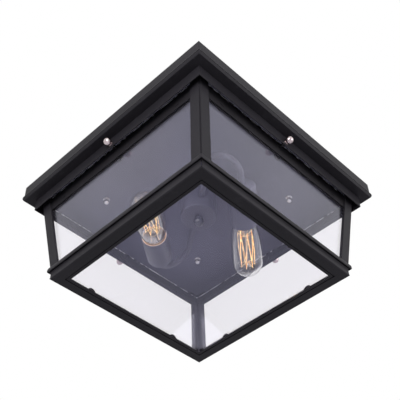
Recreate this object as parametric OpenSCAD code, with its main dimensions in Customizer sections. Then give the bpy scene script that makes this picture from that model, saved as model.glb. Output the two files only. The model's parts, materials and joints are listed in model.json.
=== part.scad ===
// Square flush-mount porch ceiling lantern with two tubular filament lamps.
// Origin: centre of the ceiling plane, which is the top face of the mounting plate.
// +Z points up into the ceiling, so the lantern hangs towards -Z. Millimetres.

/* [Canopy] */
// Width across the canopy's upright band
canopy_w = 352; // [320:1:400]
// Height from the ceiling to the soffit's underside
canopy_h = 27; // [22:0.5:40]
// Height of the flat band above the rolled bead
band_h = 16.5; // [8:0.5:19]
// How far the rolled bead stands out from the band
bead_out = 1.8; // [0.6:0.1:4]
// Thickness of the canopy's sheet metal
sheet_t = 1.2; // [0.8:0.1:2]
// Gap of the seam along the middle of the bead, between the band and the soffit
seam = 1.4; // [0.5:0.1:2]
// Set-back of the skirt from the canopy's band
skirt_step = 12.5; // [8:0.5:16]
// Height of the skirt below the soffit
skirt_h = 18.5; // [10:0.5:24]
// Thickness of the skirt
skirt_t = 1; // [0.8:0.1:3]

/* [Cage] */
// Height from the ceiling to the underside of the bottom frame
lantern_h = 173; // [162:1:230]
// Gap between the skirt and the cage at the pan
cage_gap = 4.6; // [3:0.1:7]
// Slope of the cage's sides, in degrees
cage_slope = 8; // [4:0.5:9]
// Width of each face of a corner post
post_w = 16.5; // [10:0.5:22]
// Thickness of a corner post
post_t = 2.4; // [2.2:0.1:4]
// Width of the open groove along a post's outer edge
post_groove = 1.5; // [0.5:0.1:1.8]
// Height of a top rail
rail_h = 21.5; // [18:0.5:26]
// Thickness of a top rail's sheet
rail_t = 1.2; // [1:0.1:1.8]
// Height from the ceiling to the top edge of a top rail
rail_drop = 33.5; // [31:0.5:35]
// Height of the channel along a top rail's lower edge that takes the glass
channel_h = 5; // [4:0.5:8]

/* [Bottom frame] */
// Height of the bottom frame, from its top edge to its underside
frame_h = 20; // [19:0.5:30]
// Height of the bottom frame's lower band, from the flared bead's foot to the underside
lower_band = 12; // [9:0.5:13]
// Width of the bottom frame's flat underside
frame_face = 19.5; // [14:0.5:30]
// How far the flared bead stands out from the bottom frame
frame_bead = 3; // [2.4:0.1:4]
// Thickness of the flared bead's sheet
frame_bead_t = 1; // [0.8:0.1:1.4]
// Thickness of the bottom frame's sheet
frame_t = 2; // [1.2:0.1:3]
// Width of the lip round the bottom opening
lip_w = 4.2; // [1.5:0.1:5]
// Width of the open slot at each corner of the bottom frame's lower band
corner_gap = 1.4; // [0.8:0.1:2]
// Width of the groove between the flat underside and the lip
lip_groove = 1.3; // [0.8:0.1:2.5]

/* [Glass] */
// Thickness of the glass panes
glass_t = 3; // [2:0.1:4]
// Gap round a glass pane
glass_gap = 0.3; // [0.1:0.1:1]
// Width of a glass clip
clip_w = 9.5; // [6:0.5:12]
// Thickness of a glass clip
clip_t = 1.2; // [0.8:0.1:2]
// Distance of the bottom clips from the middle of a side
clip_along = 76; // [40:1:95]
// Height of a bottom clip above the bottom glass
clip_h = 11.5; // [9:0.5:14]
// Width of a bottom clip's round-topped tab
tab_w = 13; // [10:0.5:16]
// Distance of the rail slots from the middle of a side
slot_along = 112; // [80:1:116]
// Width of a clip that hooks through a rail slot
hook_w = 7; // [4:0.5:9]

/* [Screws] */
// Diameter of a side screw's ball head
knob_d = 10.8; // [8:0.1:14]
// Diameter of a side screw's shank
shank_d = 4.2; // [3:0.1:6]
// Height from the ceiling to the side screws' axes
screw_drop = 38.8; // [35:0.1:41.5]
// Diameter of the cap nuts under the pan
cap_nut_d = 8.6; // [6.5:0.1:12]
// Distance between neighbouring cap nuts
nut_spacing = 183; // [150:1:220]
// Diameter of the studs that carry the pan
stud_d = 4; // [3:0.1:5]

/* [Mounting plate] */
// Distance between the ceiling box screws
box_screw_spacing = 88.9; // [69.9, 88.9]
// Width of a ceiling box screw slot
box_slot_w = 5; // [4:0.1:6]
// Length of a ceiling box screw slot
box_slot_l = 16; // [8:1:24]
// Thickness of the mounting plate
plate_t = 2; // [1.5:0.1:4]
// Width of the mounting plate's straps
strap_w = 24; // [18:1:40]
// Diameter of the hole for the supply wires
wire_hole_d = 19; // [10:0.5:22]

/* [Hub and arms] */
// Diameter of the hub
hub_d = 51.6; // [44:0.2:70]
// Height of the hub below the pan
hub_h = 36; // [28:0.5:50]
// Wall of the hub
hub_wall = 1.6; // [1:0.1:3]
// Diameter of the threaded rod through the hub
rod_d = 6; // [4:0.1:8]
// Diameter of the ball finial
finial_d = 14.6; // [10:0.1:20]
// Outside diameter of an arm tube
arm_d = 9; // [7:0.1:11]
// Wall of an arm tube
arm_wall = 1; // [0.6:0.1:1.5]
// Height from the ceiling to where the arms leave the hub
arm_drop = 42.6; // [38:0.1:46]
// Heading of the right arm, in degrees from +X
arm_heading = -35.5; // [-60:0.5:0]
// Sideways tilt of the plane that an arm is bent in
arm_tilt = -35; // [-45:1:-20]
// Straight length of an arm before its bend
arm_straight = 60; // [45:0.5:66]
// Radius of an arm's bend, to the tube's centre line
arm_bend_r = 24.5; // [20:0.5:28]
// Angle of an arm's bend
arm_bend = 161; // [140:1:170]
// Straight length of an arm after its bend
arm_end = 15; // [10:0.5:20]

/* [Lamp holders] */
// Outside diameter of a socket cup
cup_d = 37; // [35:0.5:44]
// Length of a socket cup
cup_l = 61; // [54:0.5:70]
// Wall of a socket cup
cup_wall = 1.1; // [0.8:0.1:2]
// Corner radius at the closed end of a socket cup
cup_corner = 3.5; // [1.5:0.1:6]
// Outside diameter of the lamp holder's ceramic body
holder_d = 33.6; // [31.5:0.1:34]
// Length of the lamp holder's ceramic body
holder_l = 48.5; // [46:0.5:49]
// Inside diameter of the screw shell at its crests
shell_bore = 26.9; // [26.6:0.1:27.4]
// Thickness of the screw shell
shell_t = 0.5; // [0.4:0.05:0.8]
// Pitch of the lamp thread
lamp_pitch = 3.6; // [3:0.1:4.5]

/* [Lamps] */
// Diameter of a lamp's glass
lamp_d = 42.6; // [38:0.1:46]
// Length of a lamp's glass from its cap to its round end
lamp_glass_l = 104; // [96:1:110]
// Depth of the lamp cap's upper edge inside the socket cup
lamp_recess = 14; // [12:0.5:15]
// Diameter of the lamp cap over its thread crests
cap_d = 26.2; // [25.5:0.1:26.4]
// Length of the threaded lamp cap
cap_l = 22; // [18:0.5:26]
// Thickness of a lamp's glass
lamp_glass_t = 0.8; // [0.5:0.1:1.2]
// Number of vertical strands in a filament cage
strands = 10; // [6:2:16]
// Radius of the filament cage
filament_r = 10; // [6:0.5:12]
// Distance from the socket cup's rim to the filament cage
filament_start = 18; // [14:1:22]
// Length of the filament cage
filament_l = 54; // [30:1:56]

/* [Hidden] */
$fn = 48;

// Clearances
seat = 0.3;        // air gap beside a piece that is not touching its seat
thread_fit = 0.05; // radial clearance of a shank in its threaded hole
hole_fit = 0.4;    // radial clearance of a shank in a plain hole
spill = 1;         // how far a cutting shape runs past the face it cuts

// Canopy levels and half widths
canopy_half = canopy_w / 2;
skirt_half = canopy_half - skirt_step;
soffit_z = -canopy_h;
pan_z = soffit_z + sheet_t;
skirt_z = soffit_z - skirt_h;
band_inner = canopy_half - sheet_t;
bead_half = canopy_half + bead_out;
seam_top = -(band_h + canopy_h) / 2 + seam / 2;
seam_foot = seam_top - seam;
pan_inset = 5;         // set-back of the pan's edge from the canopy's band
bridge_w = 3;          // width of a spot-welded bridge across the seam
bridge_inset = 16;     // distance of a bridge from the canopy's corner
bridge_weld = 0.3;     // how far a bridge runs into the band
bead_steps = 8;
end_run = 10;          // how far a moulding runs past its mitre before it is cut

// Cage levels; the outer faces lean outwards by slope_run for each millimetre up
slope_run = tan(cage_slope);
base_z = -lantern_h + lower_band;
cage_half = skirt_half - skirt_t - cage_gap - slope_run * (pan_z - base_z);
rail_z = -rail_drop;
frame_top_z = -lantern_h + frame_h;
post_top_z = pan_z - seat - post_t * sin(cage_slope);
layer_rail = post_t + rail_t;
layer_glass = layer_rail + glass_gap;
layer_lip = layer_glass + glass_t + glass_gap;
layer_back = layer_lip + rail_t;
function half_at(z) = cage_half + slope_run * (z - base_z);
function up_slope(z) = (z - base_z) / cos(cage_slope);
rail_foot_z = rail_z - rail_h;
web_top_z = rail_foot_z + channel_h;
pane_top_z = web_top_z - rail_t - 0.5;

// Bottom frame
frame_half = cage_half - 0.4;
opening_half = frame_half - frame_face;
flange_z = -lantern_h + frame_t;
flare_z = base_z + 1.6;
bottom_glass_z = flange_z + glass_gap;
pane_foot_z = flange_z + glass_gap;
bottom_glass_half = half_at(flange_z) - layer_glass - glass_t - 1.2;

// Clips
hook_slot = clip_t + 2 * glass_gap;
clip_foot = 7;         // length of a bottom clip's foot on the glass

// Screws and studs
screw_z = -screw_drop;
lug_outer = half_at(screw_z) - layer_rail;
shank_end = lug_outer - clip_t - 2.4;
knob_neck = 1.4;
nut_reach = cap_nut_d * 0.62;
stud_end = pan_z - 3.4;

// Hub
hub_r = hub_d / 2;
hub_bottom = pan_z - hub_h;
arm_r = arm_d / 2;
rod_top = pan_z + sheet_t + 7;
finial_z = hub_bottom - finial_d / 2 - 0.9;

// Lamp axis: x = 0 at the closed end of the cup, +X towards the lamp's tip
holder_x = cup_l - holder_l - 0.5;
floor_t = 6;
shell_x = holder_x + floor_t;
shell_l = cup_l - lamp_recess - 2 - shell_x;
cap_x = cup_l - lamp_recess - cap_l;
tip_x = cap_x - 5;
contact_x = tip_x - 0.4;
crest = 0.45;
neck_r = cap_d / 2 - 0.5;

steel_black = [0.10, 0.10, 0.11];
bright_steel = [0.80, 0.78, 0.78];
pane_tint = [0.80, 0.82, 0.90, 0.35];
lamp_tint = [0.95, 0.93, 0.88, 0.30];

// ---------- shared shapes ----------

// Places children on side i: 0 front (-Y), 1 right (+X), 2 back (+Y), 3 left (-X)
module side(i) { rotate([0, 0, 90 * i]) children(); }

// Keeps only the quarter of the square that belongs to the front side
module mitre(reach = 400) {
    intersection() {
        children();
        translate([0, 0, -lantern_h - spill])
            linear_extrude(height = lantern_h + 2 * spill)
                polygon([[0, 0], [reach, -reach], [-reach, -reach]]);
    }
}

// Extrudes a profile of [outward, z] points along the front side, mitred at both corners
module front_moulding(points, half) {
    mitre()
        translate([-half - end_run, 0, 0])
            rotate([90, 0, 90])
                linear_extrude(height = 2 * (half + end_run))
                    polygon([for (p = points) [-p[0], p[1]]]);
}

// Sloping plane of the front side: x along, y up the slope, z outwards
module front_plane() {
    translate([0, -cage_half, base_z]) rotate([90 + cage_slope, 0, 0]) children();
}

// Flat plate in the sloping plane between two heights; inset is from the cage's corner edge
module sloped_plate(z_low, z_high, inset, depth, thick) {
    low = up_slope(z_low);
    high = up_slope(z_high);
    front_plane()
        translate([0, 0, -depth - thick])
            linear_extrude(height = thick)
                polygon([
                    [-half_at(z_low) + inset, low], [half_at(z_low) - inset, low],
                    [half_at(z_high) - inset, high], [-half_at(z_high) + inset, high]
                ]);
}

// Frame of one lamp: origin at the cup's closed end, +X towards the lamp's tip
module lamp_axis(turn) {
    rotate([0, 0, turn + arm_heading])
        translate([hub_r, 0, -arm_drop])
            rotate([arm_tilt, 0, 0])
                translate([arm_straight, arm_bend_r, 0])
                    rotate([0, 0, arm_bend])
                        translate([arm_end, -arm_bend_r, 0])
                            children();
}

// Turns a [radius, x] profile about the lamp axis
module lamp_turned(points) {
    rotate([0, 90, 0]) rotate_extrude() polygon(points);
}

// Solid rod along an arm's centre line, offset sideways out of the plane of the bend
module arm_rod(turn, radius, offset_z, from, past) {
    rotate([0, 0, turn + arm_heading])
        translate([hub_r, 0, -arm_drop])
            rotate([arm_tilt, 0, 0])
                translate([0, 0, offset_z]) {
                    translate([arm_straight - 0.5, 0, 0]) rotate([0, 90, 0])
                        cylinder(r = radius - 0.3, h = 1);
                    translate([arm_straight, arm_bend_r, 0])
                        rotate([0, 0, arm_bend]) translate([-0.5, -arm_bend_r, 0])
                            rotate([0, 90, 0]) cylinder(r = radius - 0.3, h = 1);
                    translate([-from, 0, 0]) rotate([0, 90, 0])
                        cylinder(r = radius, h = arm_straight + from);
                    translate([arm_straight, arm_bend_r, 0]) {
                        rotate([0, 0, -90])
                            rotate_extrude(angle = arm_bend)
                                translate([arm_bend_r, 0]) circle(r = radius);
                        rotate([0, 0, arm_bend]) translate([0, -arm_bend_r, 0])
                            rotate([0, 90, 0]) cylinder(r = radius, h = arm_end + past);
                    }
                }
}

// Places children at the four studs
module at_studs() {
    for (x = [-1, 1], y = [-1, 1])
        translate([x * nut_spacing / 2, y * nut_spacing / 2, 0]) children();
}

// ---------- canopy ----------

module mounting_plate() {
    reach = nut_spacing / sqrt(2) + strap_w / 2;
    color([0.72, 0.72, 0.70])
        difference() {
            translate([0, 0, -plate_t]) union() {
                for (a = [45, 135])
                    rotate([0, 0, a]) translate([-reach, -strap_w / 2, 0])
                        cube([2 * reach, strap_w, plate_t]);
                translate([-box_screw_spacing / 2 - box_slot_l, -strap_w * 0.6, 0])
                    cube([box_screw_spacing + 2 * box_slot_l, strap_w * 1.2, plate_t]);
                cylinder(d = wire_hole_d + 2 * strap_w, h = plate_t);
            }
            translate([0, 0, -plate_t - spill]) {
                cylinder(d = wire_hole_d, h = plate_t + 2 * spill);
                for (x = [-1, 1]) translate([x * box_screw_spacing / 2, 0, 0]) box_slot();
                translate([0, ground_y, 0])
                    cylinder(r = shank_d / 2 + thread_fit, h = plate_t + 2 * spill);
                at_studs() cylinder(d = stud_d, h = plate_t + 2 * spill);
            }
        }
}

module box_slot() {
    run = (box_slot_l - box_slot_w) / 2;
    for (x = [-run, run])
        translate([x, 0, 0]) cylinder(d = box_slot_w, h = plate_t + 2 * spill);
    translate([-run, -box_slot_w / 2, 0]) cube([2 * run, box_slot_w, plate_t + 2 * spill]);
}

ground_y = wire_hole_d / 2 + 10;

module plate_studs() {
    color(bright_steel)
        at_studs() translate([0, 0, stud_end]) cylinder(d = stud_d, h = -stud_end);
}

module ground_screw() {
    head_z = -plate_t - 3;
    color([0.10, 0.45, 0.18])
        translate([0, ground_y, 0])
            difference() {
                union() {
                    translate([0, 0, head_z]) cylinder(r = shank_d / 2, h = -head_z - seat);
                    translate([0, 0, head_z]) cylinder(d = 9, h = 3, $fn = 6);
                    translate([0, 0, -plate_t - 0.8]) cylinder(d = 11, h = 0.8);
                }
                translate([-5, -0.6, head_z - spill]) cube([10, 1.2, spill + 1]);
            }
}

module ceiling_pan() {
    reach = canopy_half - pan_inset;
    color([0.13, 0.13, 0.15])
        difference() {
            translate([-reach, -reach, pan_z]) cube([2 * reach, 2 * reach, sheet_t]);
            translate([0, 0, pan_z - spill]) {
                at_studs() cylinder(r = stud_d / 2 + hole_fit, h = sheet_t + 2 * spill);
                cylinder(r = rod_d / 2 + thread_fit, h = sheet_t + 2 * spill);
                translate([0, -hub_r * 0.55, 0]) cylinder(d = 8, h = sheet_t + 2 * spill);
            }
        }
}

module pan_cap_nuts() {
    color(bright_steel)
        at_studs() translate([0, 0, pan_z])
            difference() {
                union() {
                    translate([0, 0, -1.2]) cylinder(d = cap_nut_d * 1.12, h = 1.2);
                    translate([0, 0, -nut_reach]) sphere(d = cap_nut_d);
                    translate([0, 0, -nut_reach]) cylinder(d = cap_nut_d * 0.8, h = nut_reach);
                }
                translate([0, 0, stud_end - pan_z]) cylinder(d = stud_d, h = 10);
            }
}

// Outline of the half-round bead, from its top (k = 0) to its foot on the soffit
function bead_point(k) =
    [canopy_half + bead_out * sin(180 * k / bead_steps),
     -band_h - (canopy_h - band_h) * k / bead_steps];

// Upright band that flares into the bead's upper half; bridges cross the seam near each corner
module canopy_band() {
    flare = [for (k = [0:bead_steps / 2 - 1]) bead_point(k)];
    color(steel_black)
        union() {
            front_moulding(concat([[canopy_half, 0]], flare, [
                [bead_half, seam_top], [bead_half - sheet_t, seam_top],
                [band_inner, -band_h], [band_inner, 0]
            ]), canopy_half);
            for (x = [-1, 1])
                translate([x * (canopy_half - bridge_inset) - bridge_w / 2,
                           -bead_half + 0.2, seam_foot])
                    cube([bridge_w, sheet_t - 0.4, seam + bridge_weld]);
        }
}

// Soffit folded in one strip: the bead's lower half, the flat underside and the skirt
module skirt() {
    roll = [for (k = [bead_steps / 2 + 1:bead_steps]) bead_point(k)];
    points = concat([[bead_half, seam_foot]], roll, [
        [skirt_half, soffit_z], [skirt_half, skirt_z],
        [skirt_half - skirt_t, skirt_z], [skirt_half - skirt_t, pan_z],
        [band_inner, pan_z], [bead_half - sheet_t, seam_foot]
    ]);
    color(steel_black)
        difference() {
            front_moulding(points, canopy_half);
            translate([0, -skirt_half - spill, screw_z]) rotate([-90, 0, 0])
                cylinder(r = shank_d / 2 + hole_fit, h = skirt_t + 2 * spill);
        }
}

// Ball-headed screw through the skirt into a cage lug
module side_screw() {
    color([0.78, 0.72, 0.72])
        translate([0, -skirt_half, screw_z]) rotate([90, 0, 0])
            union() {
                translate([0, 0, skirt_half * -1 + shank_end])
                    cylinder(d = shank_d, h = skirt_half - shank_end + knob_neck);
                cylinder(d = knob_d * 0.72, h = knob_neck);
                translate([0, 0, knob_neck + knob_d * 0.42]) sphere(d = knob_d);
            }
}

// ---------- cage ----------

module post_leg(right) {
    low = up_slope(frame_top_z);
    high = up_slope(post_top_z);
    way = right ? 1 : -1;
    front_plane()
        translate([0, 0, -post_t])
            linear_extrude(height = post_t)
                polygon([
                    [way * (half_at(frame_top_z) - post_groove), low],
                    [way * (half_at(post_top_z) - post_groove), high],
                    [way * (half_at(post_top_z) - post_w), high],
                    [way * (half_at(frame_top_z) - post_w), low]
                ]);
}

// Post at the corner between side i and side i + 1
module corner_post(i) {
    color(steel_black)
        union() {
            side(i) post_leg(true);
            side(i + 1) post_leg(false);
        }
}

module top_rail() {
    color(steel_black)
        difference() {
            mitre() union() {
                sloped_plate(rail_foot_z, rail_z, post_t, post_t, rail_t);
                sloped_plate(web_top_z - rail_t, web_top_z, post_t, post_t, layer_back - post_t);
                sloped_plate(rail_foot_z, web_top_z, post_t, layer_lip, rail_t);
            }
            front_plane()
                for (x = [-1, 1])
                    translate([x * slot_along - hook_w / 2, up_slope(web_top_z), -layer_rail - spill])
                        cube([hook_w, hook_slot, rail_t + 2 * spill]);
            translate([0, -half_at(screw_z) - spill, screw_z]) rotate([-90, 0, 0])
                cylinder(r = shank_d / 2 + hole_fit, h = layer_rail + 2 * spill);
        }
}

// Outline of the bottom frame's flared bead, from its top (k = 0) to its outermost edge
function flare_point(k) =
    [half_at(frame_top_z) + (cage_half + frame_bead - half_at(frame_top_z)) * sin(90 * k / bead_steps),
     flare_z + (frame_top_z - flare_z) * cos(90 * k / bead_steps)];

// Folded bottom frame: flared bead that is open below, lower band, flat underside, groove
// and lip; the lower band is slotted at the corners, where its ends stand a little apart
module bottom_rail() {
    corner = 1.2;
    wall = cage_half - post_t;
    lip_edge = opening_half + lip_w;
    lip_z = -lantern_h + 0.3;
    groove_z = flange_z - 0.6;
    inside_z = base_z + 4.5;
    slot_foot = flange_z + 0.4;
    slot_depth = 1.6 * post_t;
    outline = [for (k = [0:bead_steps]) flare_point(k)];
    points = concat(outline, [
        [cage_half + frame_bead - 0.4, base_z],
        [cage_half + frame_bead - 0.4 - frame_bead_t, base_z],
        [cage_half + frame_bead - 0.4 - frame_bead_t, inside_z],
        [cage_half, inside_z], [cage_half, base_z], [frame_half, base_z - 1],
        [frame_half, -lantern_h + corner], [frame_half - corner, -lantern_h],
        [lip_edge + lip_groove, -lantern_h], [lip_edge + lip_groove, groove_z],
        [lip_edge, groove_z], [lip_edge, lip_z], [opening_half, lip_z],
        [opening_half, lip_z + 0.3], [opening_half + 1.6, flange_z],
        [wall, flange_z], [wall, base_z], [half_at(frame_top_z) - post_t, frame_top_z]
    ]);
    color(steel_black)
        difference() {
            front_moulding(points, cage_half);
            for (x = [-1, 1])
                translate([x * frame_half, -frame_half, slot_foot]) rotate([0, 0, -45 * x])
                    translate([-slot_depth, -corner_gap / 2, 0])
                        cube([2 * slot_depth, corner_gap, base_z - 0.4 - slot_foot]);
        }
}

module side_glass() {
    color(pane_tint)
        sloped_plate(pane_foot_z + 0.6, pane_top_z, layer_lip, layer_glass, glass_t);
}

module bottom_glass() {
    color(pane_tint)
        translate([-bottom_glass_half, -bottom_glass_half, bottom_glass_z])
            cube([2 * bottom_glass_half, 2 * bottom_glass_half, glass_t]);
}

// Strap behind each top rail: its upper plate takes the side screw, and its lower tongue
// covers the edge of the glass
module cage_lugs() {
    screw_y = up_slope(screw_z);
    shelf_y = up_slope(web_top_z);
    tongue_y = up_slope(rail_foot_z) - 1;
    color(steel_black)
        for (i = [0:3]) side(i)
            difference() {
                front_plane() {
                    translate([-clip_w / 2, shelf_y, -layer_rail - clip_t])
                        cube([clip_w, screw_y - shelf_y, clip_t]);
                    translate([0, screw_y, -layer_rail - clip_t])
                        cylinder(d = clip_w, h = clip_t);
                    translate([-clip_w / 2, shelf_y, -layer_back - clip_t])
                        cube([clip_w, clip_t, layer_back + clip_t - layer_rail]);
                    translate([-clip_w / 2, tongue_y, -layer_back - clip_t])
                        cube([clip_w, shelf_y + clip_t - tongue_y, clip_t]);
                    translate([0, tongue_y, -layer_back - clip_t])
                        cylinder(d = clip_w, h = clip_t);
                    translate([0, tongue_y, -layer_back - clip_t - 0.8])
                        cylinder(d = 3, h = 1.4);
                }
                translate([0, -lug_outer - spill, screw_z]) rotate([-90, 0, 0])
                    cylinder(r = shank_d / 2 + thread_fit, h = clip_t + 3 * spill);
            }
}

// Clips that hook through the rail slots and run down behind the rail's inner lip
module rail_clips() {
    hook_y = up_slope(web_top_z);
    reach = layer_back + clip_t - post_t + 0.8;
    color(steel_black)
        for (i = [0:3], x = [-1, 1]) side(i) front_plane()
            translate([x * slot_along - hook_w / 2 + seat, hook_y, -layer_back - clip_t]) {
                cube([hook_w - 2 * seat, clip_t, reach]);
                translate([0, -channel_h, 0])
                    cube([hook_w - 2 * seat, channel_h + clip_t, clip_t]);
            }
}

// L-shaped clips: a foot on the bottom glass and a round-topped tab against the side glass
module bottom_clips() {
    face = bottom_glass_half + 0.6;
    foot_z = bottom_glass_z + glass_t;
    color(steel_black)
        for (i = [0:3], x = [-1, 1]) side(i)
            translate([x * clip_along, -face, foot_z]) {
                translate([-clip_w / 2, 0, 0]) cube([clip_w, clip_foot, clip_t]);
                translate([-tab_w / 2, 0, 0]) cube([tab_w, clip_t, clip_h - tab_w / 2]);
                intersection() {
                    translate([0, 0, clip_h - tab_w / 2]) rotate([-90, 0, 0])
                        cylinder(d = tab_w, h = clip_t);
                    translate([-tab_w, -spill, 0])
                        cube([2 * tab_w, clip_t + 2 * spill, 2 * tab_w]);
                }
            }
}

// ---------- hub and arms ----------

module hub_housing() {
    edge = 1.5;
    color([0.13, 0.13, 0.15])
        difference() {
            rotate_extrude()
                polygon([
                    [rod_d / 2 + hole_fit, hub_bottom], [hub_r - edge, hub_bottom],
                    [hub_r - edge * 0.3, hub_bottom + edge * 0.3], [hub_r, hub_bottom + edge],
                    [hub_r, pan_z], [hub_r - hub_wall, pan_z],
                    [hub_r - hub_wall, hub_bottom + hub_wall],
                    [rod_d / 2 + hole_fit, hub_bottom + hub_wall]
                ]);
            for (turn = [0, 180])
                rotate([0, 0, turn + arm_heading]) translate([hub_r - 8, 0, -arm_drop])
                    rotate([0, 90, 0]) cylinder(r = arm_r + thread_fit, h = 16);
        }
}

module hub_rod() {
    low = finial_z - 1;
    color(bright_steel)
        translate([0, 0, low]) cylinder(d = rod_d, h = rod_top - low);
}

module hub_nut() {
    across = rod_d * 1.9;
    color(bright_steel)
        translate([0, 0, pan_z + sheet_t])
            difference() {
                union() {
                    cylinder(d = rod_d * 2.4, h = 1);
                    translate([0, 0, 1]) cylinder(d = across, h = 4, $fn = 6);
                }
                translate([0, 0, -spill]) cylinder(r = rod_d / 2 + thread_fit, h = 8);
            }
}

module finial() {
    color([0.13, 0.13, 0.15])
        difference() {
            union() {
                translate([0, 0, finial_z]) sphere(d = finial_d);
                translate([0, 0, finial_z]) cylinder(d = rod_d + 4, h = hub_bottom - finial_z);
            }
            translate([0, 0, finial_z - 1]) cylinder(r = rod_d / 2 + thread_fit, h = finial_d);
        }
}

module arm(turn) {
    inner = arm_r - arm_wall;
    color([0.13, 0.13, 0.15])
        difference() {
            arm_rod(turn, arm_r, 0, 5, 5);
            arm_rod(turn, inner, 0, 5 + spill, 5 + spill);
        }
}

module lead_wires() {
    wire_r = 1.1;
    spread = (arm_r - arm_wall) * 0.45;
    color([0.85, 0.84, 0.80])
        for (turn = [0, 180], way = [-1, 1])
            arm_rod(turn, wire_r, way * spread, 6, holder_x - 0.3);
}

// ---------- lamp holders ----------

module socket_cup(turn) {
    r = cup_d / 2;
    r_in = r - cup_wall;
    arc = [for (a = [0:15:90])
        [r - cup_corner + cup_corner * sin(a), cup_corner - cup_corner * cos(a)]];
    arc_in = [for (a = [90:-15:0])
        [r - cup_corner + (cup_corner - cup_wall) * sin(a),
         cup_corner - (cup_corner - cup_wall) * cos(a)]];
    hole = arm_r + thread_fit;
    color([0.13, 0.13, 0.15])
        lamp_axis(turn)
            lamp_turned(concat([[hole, 0]], arc, [[r, cup_l], [r_in, cup_l]], arc_in, [[hole, cup_wall]]));
}

module lampholder(turn) {
    r = holder_d / 2;
    bore = shell_bore / 2 + shell_t + 0.2;
    mouth = r - 0.8;
    flare = holder_l - lamp_recess + 1;
    color([0.88, 0.87, 0.84])
        lamp_axis(turn)
            difference() {
                translate([holder_x, 0, 0])
                    lamp_turned([
                        [0, 0], [r - 3, 0], [r, 3], [r, holder_l], [mouth, holder_l],
                        [bore, flare], [bore, floor_t], [0, floor_t]
                    ]);
                translate([holder_x - spill, 0, 0]) rotate([0, 90, 0])
                    for (way = [-1, 1]) translate([0, way * 6, 0]) cylinder(r = 1.5, h = 8);
            }
}

// Rings of the lamp thread between two places on the axis, as [radius, x] points
function thread_points(x_low, x_high, r_low, r_high) =
    let (turns = floor((x_high - x_low) / lamp_pitch))
    [for (k = [0:turns - 1], q = [0, 0.25, 0.5, 0.75])
        [q == 0.5 ? r_high : q == 0 ? r_low : (r_low + r_high) / 2, x_low + (k + q) * lamp_pitch]];

module screw_shells() {
    r_in = shell_bore / 2;
    wave = thread_points(0, shell_l, r_in + crest * 0.2, r_in);
    outer = [for (k = [len(wave) - 1:-1:0]) wave[k] + [shell_t, 0]];
    color([0.85, 0.72, 0.45])
        for (turn = [0, 180]) lamp_axis(turn)
            translate([shell_x, 0, 0]) {
                lamp_turned(concat(wave, outer));
                lamp_turned([[4.5, 0], [r_in + shell_t, 0], [r_in + shell_t, shell_t], [4.5, shell_t]]);
            }
}

module socket_contacts() {
    color([0.85, 0.72, 0.45])
        for (turn = [0, 180]) lamp_axis(turn)
            translate([shell_x + shell_t + seat, 0, 0])
                lamp_turned([[0, 0], [3.5, 0], [3.5, 0.6], [2.2, contact_x - shell_x - shell_t - seat],
                    [0, contact_x - shell_x - shell_t - seat]]);
}

// ---------- lamps ----------

module lamp_tip(turn) {
    color([0.15, 0.14, 0.16])
        lamp_axis(turn) translate([tip_x, 0, 0])
            lamp_turned([[0, 0], [3.2, 0], [4.4, 0.8], [4.6, 1.4], [9.5, 4.6], [9.5, 5], [0, 5]]);
}

module lamp_cap(turn) {
    r = cap_d / 2;
    wave = thread_points(1.5, cap_l - 3, r - crest * 2, r);
    color([0.82, 0.70, 0.45])
        lamp_axis(turn) translate([cap_x, 0, 0])
            lamp_turned(concat([[9.6, 0], [10.4, 0], [r - crest * 2, 1.4]], wave,
                [[r - 0.4, cap_l - 1], [r - 0.4, cap_l], [r - 1.2, cap_l], [r - 1.8, cap_l - 2],
                 [r - 1.8, 2.4], [9.6, 0.8]]));
}

// Outline of the lamp's glass: neck, swelling and round end, for a given inset
function lamp_outline(inset) =
    let (r = lamp_d / 2, neck = neck_r, low = cup_l - lamp_recess,
         end_x = low + lamp_glass_l, shoulder = low + lamp_glass_l / 2)
    concat(
        [for (q = [0:0.1:1])
            [neck + (r - neck) * sin(90 * pow(q, 1.15)) - inset, low + (shoulder - low) * q]],
        [for (a = [0:6:84]) [(r - inset) * cos(a), end_x - r + (r - inset) * sin(a)]],
        [[0, end_x - inset]]
    );

module lamp_glass(turn) {
    outer = lamp_outline(0);
    inner = lamp_outline(lamp_glass_t);
    color(lamp_tint)
        lamp_axis(turn)
            lamp_turned(concat(outer, [for (k = [len(inner) - 1:-1:0]) inner[k]]));
}

strand_x = cup_l + filament_start;
stem_pinch = lamp_recess + filament_start;
button_l = 4;          // length of the glass button at the stem's end
stem_l = stem_pinch + filament_l + button_l;

module lamp_stem(turn) {
    low = cup_l - lamp_recess;
    flare = neck_r - lamp_glass_t - 0.1;
    color(lamp_tint)
        lamp_axis(turn) translate([low, 0, 0])
            lamp_turned([
                [0, 0], [flare, 0], [flare, 1], [7, 5], [4.5, stem_pinch / 2],
                [3.6, stem_pinch - 2], [2, stem_pinch + 1], [1.2, stem_pinch + 3],
                [1.2, stem_l - button_l - 1], [2, stem_l - button_l + 1], [2, stem_l],
                [0, stem_l + 1]
            ]);
}

// Zigzag cage of filament strands on hooks that stand out from the stem
module filament(turn) {
    color([1.0, 0.72, 0.25])
        lamp_axis(turn) {
            for (k = [0:strands - 2]) rod_between(strand_end(k), strand_end(k + 1), 0.25);
            for (k = [0:strands - 1]) {
                translate(strand_end(k)) sphere(r = 0.6, $fn = 24);
                rod_between([strand_end(k)[0] + (k % 2 == 0 ? 2 : -2), 0, 0], strand_end(k), 0.18);
            }
        }
}

function strand_end(k) =
    let (a = 360 * k / strands)
    [k % 2 == 0 ? strand_x : strand_x + filament_l, filament_r * cos(a), filament_r * sin(a)];

// Round rod between two points
module rod_between(a, b, radius) {
    d = b - a;
    run = norm(d);
    translate(a) rotate([0, acos(d[2] / run), atan2(d[1], d[0])])
        cylinder(r = radius, h = run, $fn = 16);
}

// ---------- nodes ----------

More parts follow.
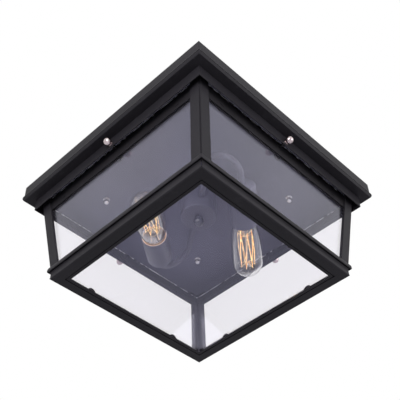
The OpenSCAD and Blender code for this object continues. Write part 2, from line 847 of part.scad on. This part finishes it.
mounting_plate();
plate_studs();
ground_screw();
ceiling_pan();
pan_cap_nuts();
side(0) canopy_band();  // canopy_band_front
side(1) canopy_band();  // canopy_band_right
side(2) canopy_band();  // canopy_band_back
side(3) canopy_band();  // canopy_band_left
side(0) skirt();  // skirt_front
side(1) skirt();  // skirt_right
side(2) skirt();  // skirt_back
side(3) skirt();  // skirt_left
side(0) side_screw();  // side_screw_front
side(1) side_screw();  // side_screw_right
side(2) side_screw();  // side_screw_back
side(3) side_screw();  // side_screw_left
corner_post(0);  // post_front_right
corner_post(1);  // post_back_right
corner_post(2);  // post_back_left
corner_post(3);  // post_front_left
side(0) top_rail();  // top_rail_front
side(1) top_rail();  // top_rail_right
side(2) top_rail();  // top_rail_back
side(3) top_rail();  // top_rail_left
side(0) bottom_rail();  // bottom_rail_front
side(1) bottom_rail();  // bottom_rail_right
side(2) bottom_rail();  // bottom_rail_back
side(3) bottom_rail();  // bottom_rail_left
side(0) side_glass();  // side_glass_front
side(1) side_glass();  // side_glass_right
side(2) side_glass();  // side_glass_back
side(3) side_glass();  // side_glass_left
bottom_glass();
cage_lugs();
rail_clips();
bottom_clips();
hub_housing();
hub_rod();
hub_nut();
finial();
arm(0);  // arm_right
arm(180);  // arm_left
socket_cup(0);  // socket_cup_right
socket_cup(180);  // socket_cup_left
lampholder(0);  // lampholder_right
lampholder(180);  // lampholder_left
screw_shells();
socket_contacts();
lead_wires();
lamp_tip(0);  // lamp_tip_right
lamp_tip(180);  // lamp_tip_left
lamp_cap(0);  // lamp_cap_right
lamp_cap(180);  // lamp_cap_left
lamp_glass(0);  // lamp_glass_right
lamp_glass(180);  // lamp_glass_left
lamp_stem(0);  // lamp_stem_right
lamp_stem(180);  // lamp_stem_left
filament(0);  // filament_right
filament(180);  // filament_left
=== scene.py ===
"""Looks of the porch ceiling lantern: materials, filaments, small fittings, light and camera."""

import json
import math
import random

import bpy
from mathutils import Matrix, Vector


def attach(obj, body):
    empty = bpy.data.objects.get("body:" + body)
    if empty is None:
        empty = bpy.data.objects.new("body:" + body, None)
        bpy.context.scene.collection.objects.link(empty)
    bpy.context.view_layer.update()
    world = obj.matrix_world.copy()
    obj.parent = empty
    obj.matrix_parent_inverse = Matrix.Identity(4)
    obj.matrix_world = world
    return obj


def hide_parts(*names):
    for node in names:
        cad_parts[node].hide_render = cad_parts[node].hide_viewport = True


MM = 0.001
ROOT = "lantern"

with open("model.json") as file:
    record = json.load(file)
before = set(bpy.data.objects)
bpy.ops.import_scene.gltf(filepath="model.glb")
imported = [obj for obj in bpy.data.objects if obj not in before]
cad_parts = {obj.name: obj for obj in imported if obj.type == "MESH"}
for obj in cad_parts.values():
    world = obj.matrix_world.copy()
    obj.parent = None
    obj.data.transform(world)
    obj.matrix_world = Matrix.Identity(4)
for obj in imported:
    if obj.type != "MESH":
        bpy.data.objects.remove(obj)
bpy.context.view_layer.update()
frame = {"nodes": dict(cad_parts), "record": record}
NODES = frame["nodes"]


# ---------------------------------------------------------------- node helpers


class Tree:
    """Short calls for building the nodes of a new material or world."""

    def __init__(self, name, library=bpy.data.materials, output="ShaderNodeOutputMaterial"):
        self.owner = library.new(name)
        self.owner.use_nodes = True
        self.nt = self.owner.node_tree
        self.nt.nodes.clear()
        self.out = self.add(output)
        self.coords = self.add("ShaderNodeTexCoord").outputs["Object"]

    def add(self, kind, **values):
        node = self.nt.nodes.new(kind)
        for key, value in values.items():
            setattr(node, key, value)
        return node

    def link(self, a, b):
        self.nt.links.new(a, b)

    def noise(self, scale, detail=3.0, rough=0.5, stretch=(1, 1, 1)):
        mapping = self.add("ShaderNodeMapping")
        mapping.inputs["Scale"].default_value = stretch
        self.link(self.coords, mapping.inputs["Vector"])
        node = self.add("ShaderNodeTexNoise")
        node.inputs["Scale"].default_value = scale
        node.inputs["Detail"].default_value = detail
        node.inputs["Roughness"].default_value = rough
        self.link(mapping.outputs["Vector"], node.inputs["Vector"])
        return node.outputs["Fac"]

    def remap(self, value, low, high, to_low, to_high):
        node = self.add("ShaderNodeMapRange")
        node.inputs["From Min"].default_value = low
        node.inputs["From Max"].default_value = high
        node.inputs["To Min"].default_value = to_low
        node.inputs["To Max"].default_value = to_high
        self.link(value, node.inputs["Value"])
        return node.outputs["Result"]

    def mix(self, factor, a, b):
        node = self.add("ShaderNodeMix", data_type="RGBA")
        for socket, value in ((node.inputs[6], a), (node.inputs[7], b)):
            if isinstance(value, tuple):
                socket.default_value = (*value, 1)
            else:
                self.link(value, socket)
        self.link(factor, node.inputs[0])
        return node.outputs[2]

    def axis(self, letter):
        node = self.add("ShaderNodeSeparateXYZ")
        self.link(self.coords, node.inputs[0])
        return node.outputs[letter]

    def math(self, operation, a, b=None):
        node = self.add("ShaderNodeMath", operation=operation)
        for socket, value in zip(node.inputs, (a, b)):
            if isinstance(value, (int, float)):
                socket.default_value = value
            elif value is not None:
                self.link(value, socket)
        return node.outputs[0]

    def along(self, direction):
        """Distance along a fixed direction, in metres."""
        node = self.add("ShaderNodeVectorMath", operation="DOT_PRODUCT")
        self.link(self.coords, node.inputs[0])
        node.inputs[1].default_value = direction
        return node.outputs["Value"]

    def bump(self, height, strength, distance, normal=None):
        node = self.add("ShaderNodeBump")
        node.inputs["Strength"].default_value = strength
        node.inputs["Distance"].default_value = distance
        self.link(height, node.inputs["Height"])
        if normal is not None:
            self.link(normal, node.inputs["Normal"])
        return node.outputs["Normal"]

    def soft_edge(self, radius):
        node = self.add("ShaderNodeBevel", samples=4)
        node.inputs["Radius"].default_value = radius
        return node.outputs["Normal"]

    def glow(self, kind, colour, strength):
        """Emission or background shader of one colour; strength is a number or a socket."""
        node = self.add(kind)
        node.inputs["Color"].default_value = (*colour, 1)
        if isinstance(strength, (int, float)):
            node.inputs["Strength"].default_value = strength
        else:
            self.link(strength, node.inputs["Strength"])
        return node.outputs[0]

    def mix_shader(self, factor, a, b):
        node = self.add("ShaderNodeMixShader")
        for socket, value in zip(node.inputs, (factor, a, b)):
            self.link(value, socket)
        return node.outputs[0]

    def surface(self, shader):
        """Make the shader the surface, and return the finished material or world."""
        self.link(shader, self.out.inputs["Surface"])
        return self.owner


def shade(c):
    """Linear value of an sRGB value from 0 to 255."""
    c = c / 255
    return c / 12.92 if c <= 0.04045 else ((c + 0.055) / 1.055) ** 2.4


def rgb(r, g, b):
    return (shade(r), shade(g), shade(b))


# near-white of the painted glint along the top rails' upper edge
GLINT_COLOUR = rgb(250, 250, 255)
DUST_GAIN = 1.7     # how much paler dusty paint is, in linear values
DUST_LIFT = 0.006


def powder_coat(name, dark, light, rough, specular, edge=0.5 * MM, glint_above=None):
    """Satin powder coat: fine orange peel, faint cloudy variation, dust and softened edges.

    The last argument is the height above which pale flecks are painted on as a glint along the upper
    edge.
    """
    t = Tree(name)
    bsdf = t.add("ShaderNodeBsdfPrincipled")
    cloud = t.noise(9, 4)
    speck = t.noise(900, 2)
    dust = t.remap(t.noise(55, 6, 0.65), 0.58, 0.75, 0.0, 0.35)
    base = t.mix(t.remap(cloud, 0.3, 0.7, 0, 1), dark, light)
    dusty = tuple(min(1, c * DUST_GAIN + DUST_LIFT) for c in light)
    base = t.mix(dust, base, dusty)
    gloss = t.remap(speck, 0.3, 0.7, rough - 0.05, rough + 0.07)
    if glint_above is not None:
        top = t.remap(t.axis("Z"), glint_above, glint_above + 0.1 * MM, 0, 1)
        # pale flecks above that height: painted glint along the edge
        painted_glint = t.math("MULTIPLY", top, t.remap(t.noise(190, 2), 0.47, 0.53, 0, 1))
        base = t.mix(painted_glint, base, GLINT_COLOUR)
    t.link(base, bsdf.inputs["Base Color"])
    t.link(gloss, bsdf.inputs["Roughness"])
    bsdf.inputs["Specular IOR Level"].default_value = specular
    normal = t.bump(t.noise(620, 2), 0.12, 0.05 * MM, t.soft_edge(edge))
    t.link(normal, bsdf.inputs["Normal"])
    return t.surface(bsdf.outputs[0])


def metal(name, dark, light, rough, grain=(1, 1, 1), edge=0.3 * MM):
    """Bare metal with a brushed grain, finger marks and slight tarnish."""
    t = Tree(name)
    bsdf = t.add("ShaderNodeBsdfPrincipled")
    bsdf.inputs["Metallic"].default_value = 1.0
    smear = t.noise(70, 4, 0.6)
    line = t.noise(800, 2, 0.5, grain)
    t.link(t.mix(t.remap(smear, 0.35, 0.7, 0, 1), light, dark), bsdf.inputs["Base Color"])
    t.link(t.remap(smear, 0.3, 0.7, rough * 0.7, rough * 1.5), bsdf.inputs["Roughness"])
    t.link(t.bump(line, 0.08, 0.03 * MM, t.soft_edge(edge)), bsdf.inputs["Normal"])
    return t.surface(bsdf.outputs[0])


def screw_metal(name, dark, light, rough, head_from):
    """Polished head on a near-black shank, the shank's darkness being painted shade for the gap under
    the skirt.

    head_from is the distance from the lantern's middle at which the head starts.
    """
    t = Tree(name)
    bsdf = t.add("ShaderNodeBsdfPrincipled")
    reach = t.math("MAXIMUM", t.math("ABSOLUTE", t.axis("X")), t.math("ABSOLUTE", t.axis("Y")))
    head = t.remap(reach, head_from - 0.1 * MM, head_from + 0.1 * MM, 0, 1)
    smear = t.noise(90, 4, 0.6)
    polished = t.mix(t.remap(smear, 0.35, 0.7, 0, 1), light, dark)
    # inwards of the head the screw is painted near-black: painted shade in the gap between skirt and
    # cage
    t.link(t.mix(head, rgb(24, 22, 25), polished), bsdf.inputs["Base Color"])
    t.link(head, bsdf.inputs["Metallic"])
    t.link(t.remap(smear, 0.3, 0.7, rough * 0.7, rough * 1.5), bsdf.inputs["Roughness"])
    t.link(t.bump(t.noise(700, 2), 0.08, 0.03 * MM, t.soft_edge(0.3 * MM)), bsdf.inputs["Normal"])
    return t.surface(bsdf.outputs[0])


def clear_glass(name, tint, wave_scale, wave, film=0.0, sheen=(1, 1, 1), level=0.5):
    """Clear glass that lets lamp light through, with faint waviness and, where it has one, a pale film
    whose patchy violet tint is painted reflection.

    sheen is the colour of its reflections and level their strength.
    """
    t = Tree(name)
    glass = t.add("ShaderNodeBsdfPrincipled")
    glass.inputs["Base Color"].default_value = (*tint, 1)
    glass.inputs["Transmission Weight"].default_value = 1.0
    glass.inputs["IOR"].default_value = 1.5
    glass.inputs["Specular IOR Level"].default_value = level
    glass.inputs["Specular Tint"].default_value = (*sheen, 1)
    t.link(t.remap(t.noise(40, 5, 0.6), 0.5, 0.8, 0.0, 0.02), glass.inputs["Roughness"])
    t.link(t.bump(t.noise(wave_scale, 1), wave, 0.1 * MM), glass.inputs["Normal"])
    through = t.add("ShaderNodeBsdfTransparent")
    through.inputs["Color"].default_value = (*[c ** 0.5 for c in tint], 1)
    path = t.add("ShaderNodeLightPath")
    shader = t.mix_shader(path.outputs["Is Shadow Ray"], glass.outputs[0], through.outputs[0])
    if film:
        film_with_reflection = t.add("ShaderNodeBsdfDiffuse")
        # patchy violet tint of the film: painted reflection
        painted_reflection_tint = t.mix(t.remap(t.noise(4, 2), 0.35, 0.65, 0, 1), rgb(214, 214, 246), rgb(236, 232, 244))
        t.link(painted_reflection_tint, film_with_reflection.inputs["Color"])
        patchy = t.remap(t.noise(6, 4), 0.2, 0.8, film * 0.8, film * 1.2)
        shader = t.mix_shader(patchy, shader, film_with_reflection.outputs[0])
    return t.surface(shader)


def ceramic(name, outwards, rim):
    """Ceramic holder, tinted yellow-brown at the mouth as painted lamp glow, and browner further inside
    as painted shade.

    outwards is the direction of its axis, and rim the mouth's place along it.
    """
    t = Tree(name)
    bsdf = t.add("ShaderNodeBsdfPrincipled")
    # browner deeper inside the mouth: painted shade
    recess_shade = t.remap(t.along(outwards), rim - 3.5 * MM, rim - 0.8 * MM, 1, 0)
    # warm tint of the pale ceramic: painted glow of the lamp's light
    painted_lamp_glow = t.mix(t.noise(160, 4), rgb(196, 140, 82), rgb(226, 180, 118))
    base = t.mix(recess_shade, painted_lamp_glow, rgb(150, 112, 62))
    t.link(base, bsdf.inputs["Base Color"])
    t.link(t.remap(t.noise(200, 3), 0.3, 0.7, 0.35, 0.55), bsdf.inputs["Roughness"])
    t.link(t.bump(t.noise(900, 3), 0.2, 0.05 * MM, t.soft_edge(0.4 * MM)), bsdf.inputs["Normal"])
    return t.surface(bsdf.outputs[0])


def dark_vitrite(name):
    """Glossy black glass round the lamp's contact tip."""
    t = Tree(name)
    bsdf = t.add("ShaderNodeBsdfPrincipled")
    base = t.mix(t.noise(300, 4), rgb(18, 16, 22), rgb(40, 34, 48))
    t.link(base, bsdf.inputs["Base Color"])
    t.link(t.remap(t.noise(400, 2), 0.3, 0.7, 0.08, 0.2), bsdf.inputs["Roughness"])
    t.link(t.bump(t.noise(250, 2), 0.15, 0.1 * MM), bsdf.inputs["Normal"])
    return t.surface(bsdf.outputs[0])


def braided(name):
    """Woven glass-fibre sleeve."""
    t = Tree(name)
    bsdf = t.add("ShaderNodeBsdfPrincipled")
    wave = t.add("ShaderNodeTexWave", wave_type="BANDS", bands_direction="DIAGONAL")
    wave.inputs["Scale"].default_value = 900
    wave.inputs["Distortion"].default_value = 1.5
    t.link(t.coords, wave.inputs["Vector"])
    t.link(t.mix(wave.outputs["Fac"], rgb(176, 172, 160), rgb(222, 219, 208)), bsdf.inputs["Base Color"])
    bsdf.inputs["Roughness"].default_value = 0.8
    t.link(t.bump(wave.outputs["Fac"], 0.4, 0.15 * MM), bsdf.inputs["Normal"])
    return t.surface(bsdf.outputs[0])


def glowing_wire(name, dull, hot, strength):
    """Filament wire: metal that glows unevenly along its length, dull to hot."""
    t = Tree(name)
    bsdf = t.add("ShaderNodeBsdfPrincipled")
    bsdf.inputs["Metallic"].default_value = 1.0
    bsdf.inputs["Roughness"].default_value = 0.35
    heat = t.noise(230, 3)
    t.link(t.mix(heat, rgb(190, 96, 30), rgb(255, 196, 96)), bsdf.inputs["Base Color"])
    t.link(t.mix(t.remap(heat, 0.40, 0.54, 0, 1), dull, hot), bsdf.inputs["Emission Color"])
    bsdf.inputs["Emission Strength"].default_value = strength
    return t.surface(bsdf.outputs[0])


FLOOR_GLOW = 0.62          # strength that the camera sees on top of the lit floor
FLOOR_IN_MIRRORS = 0.85    # strength that metal and glass see


def plain_floor(name):
    """Pale matt floor.

    The camera sees it lit a little from within, so that it stays pale and keeps its shadows.
    Metal and glass see it as the pale backdrop that it is part of.
    """
    t = Tree(name)
    bsdf = t.add("ShaderNodeBsdfPrincipled")
    t.link(t.mix(t.noise(3, 3), rgb(226, 226, 228), rgb(234, 234, 236)), bsdf.inputs["Base Color"])
    bsdf.inputs["Roughness"].default_value = 0.8
    path = t.add("ShaderNodeLightPath")
    to_camera = t.math("MULTIPLY", path.outputs["Is Camera Ray"], FLOOR_GLOW)
    lit = t.add("ShaderNodeAddShader")
    t.link(bsdf.outputs[0], lit.inputs[0])
    t.link(t.glow("ShaderNodeEmission", (0.98, 0.98, 1.0), to_camera), lit.inputs[1])
    mirrored = t.math("MAXIMUM", path.outputs["Is Glossy Ray"], path.outputs["Is Transmission Ray"])
    backdrop = t.glow("ShaderNodeEmission", (0.95, 0.95, 1.0), FLOOR_IN_MIRRORS)
    return t.surface(t.mix_shader(mirrored, lit.outputs[0], backdrop))


# ---------------------------------------------------------------- materials of the CAD nodes

RAIL_GLINT_ABOVE = -34.8 * MM     # the top rails have pale flecks painted as a glint from here to their upper edge
SCREW_HEAD_FROM = 163.6 * MM     # from the lantern's middle to the foot of a side screw's head

canopy_paint = powder_coat("canopy_paint", rgb(40, 38, 43), rgb(49, 47, 52), 0.5, 0.12, 0.6 * MM)
cage_paint = powder_coat("cage_paint", rgb(41, 39, 44), rgb(50, 48, 53), 0.48, 0.14, 0.5 * MM)
# paint of the top rails, with the painted glint along their upper edge
rail_paint = powder_coat(
    "rail_paint", rgb(40, 38, 42), rgb(50, 48, 52), 0.5, 0.12, 0.4 * MM, RAIL_GLINT_ABOVE
)
inner_paint = powder_coat("inner_paint", rgb(82, 81, 95), rgb(95, 94, 109), 0.42, 0.3, 0.6 * MM)
# lighter copy of the inner paint on the ceiling pan: painted light; darker copy on the finial: painted
# shade
pan_lit_paint = powder_coat("pan_lit_paint", rgb(94, 93, 110), rgb(106, 105, 123), 0.45, 0.28, 0.6 * MM)
finial_shaded_paint = powder_coat("finial_shaded_paint", rgb(56, 55, 66), rgb(68, 67, 80), 0.25, 0.6, 0.3 * MM)
bright_steel = metal("bright_steel", rgb(168, 164, 166), rgb(224, 221, 222), 0.14)
screw_steel = screw_metal(
    "screw_steel", rgb(170, 156, 158), rgb(222, 208, 208), 0.17, SCREW_HEAD_FROM
)
zinc = metal("zinc_plate", rgb(150, 152, 152), rgb(196, 197, 194), 0.35, (1, 14, 1))
green = powder_coat("ground_green", rgb(22, 88, 40), rgb(34, 120, 58), 0.35, 0.5)
brass = metal("brass", rgb(170, 132, 70), rgb(222, 186, 116), 0.2)
pane_glass = clear_glass("pane_glass", (0.975, 0.967, 1.0), 8, 0.01, 0.010, (0.50, 0.50, 0.80), 0.3)
lamp_glass = clear_glass("lamp_glass", (0.985, 0.98, 0.97), 30, 0.05)
# the stem's pink tint and pale film are a painted highlight of the filament's glow
stem_glass = clear_glass("stem_glass", (0.93, 0.86, 0.84), 60, 0.1, 0.12)
tip_glass = dark_vitrite("tip_glass")
sleeve = braided("wire_sleeve")
hot_wire = glowing_wire("filament", (0.60, 0.27, 0.06), (1.0, 0.84, 0.46), 1.25)
hook_wire = metal("hook_wire", rgb(120, 104, 66), rgb(190, 168, 110), 0.3)
# pale coat of the ring at the cup's mouth: painted highlight
lip_painted_highlight = powder_coat("lip_painted_highlight", rgb(226, 206, 202), rgb(246, 234, 232), 0.3, 0.6, 0.1 * MM)

BY_SLOT = {
    "canopy_paint": canopy_paint,
    "cage_paint": cage_paint,
    "inner_paint": inner_paint,
    "bright_steel": bright_steel,
    "screw_steel": screw_steel,
    "zinc_plate": zinc,
    "ground_green": green,
    "pane_glass": pane_glass,
    "lamp_glass": lamp_glass,
    "brass": brass,
    "tip_glass": tip_glass,
    "filament": hot_wire,
    "wire_sleeve": sleeve,
}

JOINT_BACK = 20 * MM         # the turning joint's point lies this far inside the socket cup's rim
HOLDER_BELOW_RIM = 0.5 * MM  # and the lamp holder's mouth this far
FRAME_JOINTS = {j["name"]: j for j in frame["record"]["behaviour"]["joints"]}
BY_NODE = {}
for side_name in ("right", "left"):
    turn = FRAME_JOINTS["lamp_turn_" + side_name]
    way = Vector(turn["axis"]).normalized()
    rim_at = Vector(turn["pos_m"]).dot(way) + JOINT_BACK
    BY_NODE["lampholder_" + side_name] = ceramic(
        "holder_" + side_name, tuple(way), rim_at - HOLDER_BELOW_RIM
    )

slot_of = {s["node"]: s["material_slot"] for s in frame["record"]["subparts"]}
for node_name, obj in NODES.items():
    if node_name in BY_NODE:
        mat = BY_NODE[node_name]
    elif node_name.startswith("top_rail"):
        mat = rail_paint
    elif node_name == "ceiling_pan":
        mat = pan_lit_paint
    elif node_name == "finial":
        mat = finial_shaded_paint
    elif node_name.startswith("lamp_stem"):
        mat = stem_glass
    else:
        mat = BY_SLOT[slot_of[node_name]]
    if not obj.material_slots:
        obj.data.materials.append(mat)
    for slot in obj.material_slots:
        slot.material = mat


# ---------------------------------------------------------------- lamps

STRANDS = 14
STRAND_STEPS = 12
STRAND_WANDER = 0.012       # radians that a strand's points stray sideways
CAGE_R = 10.0 * MM
CAGE_LOW = 17 * MM          # from the cup's rim to the lower hooks
CAGE_HIGH = 73 * MM
HOOK_RISE = 5 * MM          # a hook starts on the stem this far inwards of the strands' ends
HOOK_ROOT_R = 1.2 * MM
HOOK_CURVE = 1.6            # power of its curve from the stem to the strand
HOOK_TIP_OUT = 0.7 * MM     # how far its tip passes the strand, outwards and along the axis
HOOK_TIP_ON = 0.9 * MM
LEAD_START = -11 * MM       # the leads' lower ends, in the stem's flare
LEAD_FOOT_R = 3.0 * MM      # the leads' distance from the axis there and at the cup's rim
LEAD_RIM_R = 3.4 * MM
LEAD_BEND = 9 * MM
STRAND_WIRE_R = 0.34 * MM
HOOK_WIRE_R = 0.24 * MM
LIP_R = 17.1 * MM           # in the slit between the lamp holder and the cup
LIP_WIRE_R = 0.38 * MM
LIP_BELOW_RIM = 0.35 * MM
LIP_POINTS = 96


def lamp_frame(side_name):
    """Matrix with its origin in the middle of the socket cup's rim and +Z towards the bulb's end."""
    joint = FRAME_JOINTS["lamp_turn_" + side_name]
    axis = Vector(joint["axis"]).normalized()
    origin = Vector(joint["pos_m"]) + axis * JOINT_BACK
    return Matrix.Translation(origin) @ axis.to_track_quat("Z", "Y").to_matrix().to_4x4()


def wire_object(name, paths, frame_matrix, radii, materials):
    """One curve object made of round wires. Each path is (points, material index)."""
    data = bpy.data.curves.new(name, "CURVE")
    data.dimensions = "3D"
    data.bevel_depth = 1.0 * MM
    data.bevel_resolution = 3
    for points, index in paths:
        spline = data.splines.new("POLY")
        spline.points.add(len(points) - 1)
        spline.material_index = index
        for point, at in zip(spline.points, points):
            point.co = (*(frame_matrix @ Vector(at)), 1)
            point.radius = radii[index] / MM
    for mat in materials:
        data.materials.append(mat)
    obj = bpy.data.objects.new(name, data)
    bpy.context.scene.collection.objects.link(obj)
    return obj


def round_axis(r, angle, z):
    """Point at a radius, angle and height of a piece's own frame."""
    return (r * math.cos(angle), r * math.sin(angle), z)


def strand(a, b, angle_a, angle_b, bow, rng):
    """Wire from one hook to the next, at heights a and b, that bows out a little between them."""
    points = []
    for k in range(STRAND_STEPS + 1):
        q = k / STRAND_STEPS
        angle = angle_a + (angle_b - angle_a) * q
        r = CAGE_R + bow * math.sin(math.pi * q)
        angle += rng.uniform(-STRAND_WANDER, STRAND_WANDER) if 0 < k < STRAND_STEPS else 0
        points.append(round_axis(r, angle, a + (b - a) * q))
    return points


def make_filament(side_name, seed):
    """Zigzag filament on two rings of hooks, with its two leads down into the stem's flare."""
    rng = random.Random(seed)
    at = lamp_frame(side_name)
    paths = []
    step = 2 * math.pi / STRANDS
    for k in range(STRANDS - 1):
        low, high = (CAGE_LOW, CAGE_HIGH) if k % 2 == 0 else (CAGE_HIGH, CAGE_LOW)
        bow = rng.uniform(0.4, 1.3) * MM
        paths.append((strand(low, high, k * step, (k + 1) * step, bow, rng), 0))
    for k in range(STRANDS):
        angle = k * step
        z, inwards = (CAGE_LOW, 1) if k % 2 == 0 else (CAGE_HIGH, -1)
        root = z + HOOK_RISE * inwards
        hook = [round_axis(HOOK_ROOT_R, angle, root)]
        for q in (0.35, 0.7, 1.0):
            hook.append(round_axis(CAGE_R * q, angle, root + (z - root) * q ** HOOK_CURVE))
        hook.append(round_axis(CAGE_R + HOOK_TIP_OUT, angle, z - HOOK_TIP_ON * inwards))
        paths.append((hook, 1))
    for k, way in ((0, 1), (STRANDS - 1, -1)):
        angle = k * step
        end = CAGE_LOW if k % 2 == 0 else CAGE_HIGH
        lead = [
            (LEAD_FOOT_R * way, 0, LEAD_START),
            (LEAD_RIM_R * way, 0, 0),
            round_axis(CAGE_R * 0.75, angle, LEAD_BEND),
            round_axis(CAGE_R, angle, end),
        ]
        paths.append((lead, 1))
    radii = (STRAND_WIRE_R, HOOK_WIRE_R)
    obj = wire_object("filament_wires_" + side_name, paths, at, radii, (hot_wire, hook_wire))
    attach(obj, "lamp_" + side_name)
    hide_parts("filament_" + side_name)


def make_cup_lip(side_name):
    """Thin ring round the mouth of the lamp holder, pale as a painted highlight on its edge."""
    at = lamp_frame(side_name)
    data = bpy.data.curves.new("cup_lip_" + side_name, "CURVE")
    data.dimensions = "3D"
    data.bevel_depth = LIP_WIRE_R
    data.bevel_resolution = 4
    spline = data.splines.new("POLY")
    spline.points.add(LIP_POINTS - 1)
    spline.use_cyclic_u = True
    for k, point in enumerate(spline.points):
        angle = 2 * math.pi * k / LIP_POINTS
        point.co = (*(at @ Vector(round_axis(LIP_R, angle, -LIP_BELOW_RIM))), 1)
    data.materials.append(lip_painted_highlight)
    obj = bpy.data.objects.new("cup_lip_" + side_name, data)
    bpy.context.scene.collection.objects.link(obj)
    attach(obj, ROOT)


for lamp_side, lamp_seed in (("right", 5), ("left", 11)):
    make_filament(lamp_side, lamp_seed)
    make_cup_lip(lamp_side)


# ---------------------------------------------------------------- grub screw of the hub

HUB_R = 25.8 * MM
GRUB_Z = -49 * MM
GRUB_TURN = math.radians(-45)
GRUB_POINTS = 36    # round each ring, a multiple of six for the hexagon
# radius and height in mm, and whether the ring is a hexagon, from the thread inwards
GRUB_RINGS = (
    (2.3, -1.5, False),
    (2.3, 0.15, False),
    (2.0, 0.4, False),
    (1.25, 0.4, True),
    (1.2, -0.7, True),
    (0.05, -0.9, True),
)


def make_grub_screw():
    """Set screw with a hexagon socket, a little proud of the hub's side."""
    out = Vector((math.cos(GRUB_TURN), math.sin(GRUB_TURN), 0))
    turned = out.to_track_quat("Z", "Y").to_matrix().to_4x4()
    at = Matrix.Translation(out * HUB_R + Vector((0, 0, GRUB_Z))) @ turned
    verts, faces = [], []
    for radius, height, hexagon in GRUB_RINGS:
        for k in range(GRUB_POINTS):
            angle = 2 * math.pi * k / GRUB_POINTS
            flat = 1.0
            if hexagon:
                flat = math.cos(math.pi / 6) / math.cos(angle % (math.pi / 3) - math.pi / 6)
            verts.append(at @ Vector(round_axis(radius * flat * MM, angle, height * MM)))
    inmost = (len(GRUB_RINGS) - 1) * GRUB_POINTS
    for near in range(0, inmost, GRUB_POINTS):
        far = near + GRUB_POINTS
        for k in range(GRUB_POINTS):
            after = (k + 1) % GRUB_POINTS
            faces.append((near + k, near + after, far + after, far + k))
    faces.append([inmost + k for k in range(GRUB_POINTS)])
    data = bpy.data.meshes.new("grub_screw")
    data.from_pydata(verts, [], faces)
    data.materials.append(inner_paint)
    obj = bpy.data.objects.new("grub_screw", data)
    bpy.context.scene.collection.objects.link(obj)
    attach(obj, ROOT)


make_grub_screw()

# ---------------------------------------------------------------- camera, light, floor

CAMERA_AT = Vector((0.54670, -0.57655, -0.83225))
YAW, PITCH, ROLL = (math.radians(a) for a in (43.272, 45.333, -1.804))
LENS_MM = 70.98

forward = Vector((-math.sin(YAW) * math.cos(PITCH), math.cos(YAW) * math.cos(PITCH), math.sin(PITCH)))
right = forward.cross(Vector((0, 0, 1))).normalized()
up = right.cross(forward)
cam_x = right * math.cos(ROLL) + up * math.sin(ROLL)
cam_y = up * math.cos(ROLL) - right * math.sin(ROLL)
cam_data = bpy.data.cameras.new("camera")
cam_data.lens = LENS_MM
cam_data.sensor_width = 36
cam_data.clip_start = 0.01
camera = bpy.data.objects.new("camera", cam_data)
bpy.context.scene.collection.objects.link(camera)
camera.matrix_world = Matrix.Translation(CAMERA_AT) @ Matrix(
    [[cam_x[i], cam_y[i], -forward[i]] for i in range(3)]
).to_4x4()
bpy.context.scene.camera = camera

bpy.context.scene.view_settings.view_transform = "Standard"

FLOOR_Z = -1.25
FLOOR_SIZE = 30
bpy.ops.mesh.primitive_plane_add(size=FLOOR_SIZE, location=(0, 0, FLOOR_Z))
floor = bpy.context.object
floor.name = "floor"
floor.data.materials.append(plain_floor("floor"))

WORLD_LIGHT = 0.17    # strength that lights the lantern; camera, metal and glass see plain white

studio = Tree("studio", bpy.data.worlds, "ShaderNodeOutputWorld")
rays = studio.add("ShaderNodeLightPath").outputs
seen = studio.math("MAXIMUM", rays["Is Camera Ray"], rays["Is Glossy Ray"])
seen = studio.math("MAXIMUM", seen, rays["Is Transmission Ray"])
lighting = studio.glow("ShaderNodeBackground", (0.97, 0.96, 1.0), WORLD_LIGHT)
white = studio.glow("ShaderNodeBackground", (1, 1, 1), 1.0)
bpy.context.scene.world = studio.surface(studio.mix_shader(seen, lighting, white))

LANTERN_MIDDLE = (0, 0, -0.05)


def soft_lamp(name, at, size, power):
    """Square area lamp aimed at the lantern; size in metres and power in watts."""
    data = bpy.data.lights.new(name, "AREA")
    data.shape = "SQUARE"
    data.size = size
    data.energy = power
    lamp = bpy.data.objects.new(name, data)
    bpy.context.scene.collection.objects.link(lamp)
    aim = Vector(LANTERN_MIDDLE) - Vector(at)
    lamp.matrix_world = Matrix.Translation(at) @ aim.to_track_quat("-Z", "Y").to_matrix().to_4x4()


soft_lamp("key", (0.46, -0.84, -0.10), 0.5, 5)
soft_lamp("fill", (1.70, 0.75, -0.05), 1.0, 10)
